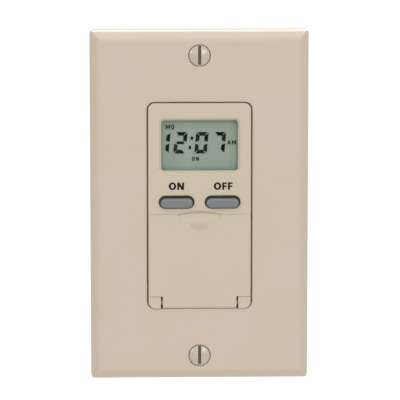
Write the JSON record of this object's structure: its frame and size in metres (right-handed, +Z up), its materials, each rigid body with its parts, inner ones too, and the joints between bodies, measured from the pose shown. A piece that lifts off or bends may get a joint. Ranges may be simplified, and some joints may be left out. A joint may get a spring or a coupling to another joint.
{
  "type": "timer light switch",
  "caption": "In-wall digital timer switch with decorator wall plate, display window, ON and OFF buttons and a flip-down door over its programming keys.",
  "frame": {"origin": "centre of the two box screws, on the wall surface", "axes": "+X right and +Z up as seen from the room, +Y into the wall; the face looks along -Y"},
  "size_m": [0.0698, 0.0367, 0.113],
  "materials": {
    "ivory_plastic": "satin moulded plastic, ivory",
    "painted_screw": "ivory paint on steel",
    "zinc_steel": "zinc plated steel",
    "green_screw": "green terminal screw",
    "clear_window": "clear moulded window",
    "display_glass": "grey-green display cell",
    "white_plastic": "white inner plastic",
    "elastomer": "striped contact elastomer",
    "circuit_board": "green solder mask",
    "black_plastic": "black moulded plastic",
    "key_grey": "grey key plastic",
    "plunger_brown": "switch plunger",
    "cell_steel": "nickel plated can",
    "contact_brass": "plated contact spring",
    "relay_blue": "blue component case",
    "film_yellow": "yellow component case",
    "can_black": "sleeved can"
  },
  "bodies": {
    "frame": {"wall_plate": "ivory_plastic", "front_bezel": "ivory_plastic", "battery_tray": "ivory_plastic", "plate_screws": "painted_screw", "mounting_strap": "zinc_steel", "box_screws": "zinc_steel", "housing_screws": "zinc_steel", "board_screws": "zinc_steel", "watch_crystal": "zinc_steel", "ground_screw": "green_screw", "lcd_lens": "clear_window", "lcd_cell": "display_glass", "lcd_reflector": "white_plastic", "lcd_holder": "white_plastic", "contact_strips": "elastomer", "control_board": "circuit_board", "power_board": "circuit_board", "controller_chip": "black_plastic", "tact_switches": "black_plastic", "rear_housing": "black_plastic", "board_header": "black_plastic", "battery": "cell_steel", "battery_contacts": "contact_brass", "relay": "relay_blue", "varistor": "relay_blue", "film_capacitor": "film_yellow", "bulk_capacitor": "can_black"},
    "door": {"door": "ivory_plastic"},
    "on_button": {"on_button": "key_grey", "on_plunger": "plunger_brown"},
    "off_button": {"off_button": "key_grey", "off_plunger": "plunger_brown"},
    "mode_key": {"mode_key": "key_grey", "mode_plunger": "plunger_brown"},
    "day_key": {"day_key": "key_grey", "day_plunger": "plunger_brown"},
    "minus_key": {"minus_key": "key_grey", "minus_plunger": "plunger_brown"},
    "plus_key": {"plus_key": "key_grey", "plus_plunger": "plunger_brown"},
    "reset_key": {"reset_key": "key_grey", "reset_plunger": "plunger_brown"}
  },
  "joints": [
    {"name": "door_hinge", "type": "hinge", "parent": "frame", "child": "door", "pos_m": [0, -0.0043, -0.03121], "axis": [1, 0, 0], "range_deg": [0, 95]},
    {"name": "on_press", "type": "slide", "parent": "frame", "child": "on_button", "axis": [0, 1, 0], "range_m": [0, 0.0005], "stiffness_N_per_m": 800, "springref_m": -0.0003},
    {"name": "off_press", "type": "slide", "parent": "frame", "child": "off_button", "axis": [0, 1, 0], "range_m": [0, 0.0005], "stiffness_N_per_m": 800, "springref_m": -0.0003},
    {"name": "mode_press", "type": "slide", "parent": "frame", "child": "mode_key", "axis": [0, 1, 0], "range_m": [0, 0.0005], "stiffness_N_per_m": 800, "springref_m": -0.0003},
    {"name": "day_press", "type": "slide", "parent": "frame", "child": "day_key", "axis": [0, 1, 0], "range_m": [0, 0.0005], "stiffness_N_per_m": 800, "springref_m": -0.0003},
    {"name": "minus_press", "type": "slide", "parent": "frame", "child": "minus_key", "axis": [0, 1, 0], "range_m": [0, 0.0005], "stiffness_N_per_m": 800, "springref_m": -0.0003},
    {"name": "plus_press", "type": "slide", "parent": "frame", "child": "plus_key", "axis": [0, 1, 0], "range_m": [0, 0.0005], "stiffness_N_per_m": 800, "springref_m": -0.0003},
    {"name": "reset_press", "type": "slide", "parent": "frame", "child": "reset_key", "axis": [0, 1, 0], "range_m": [0, 0.0005], "stiffness_N_per_m": 800, "springref_m": -0.0003}
  ]
}
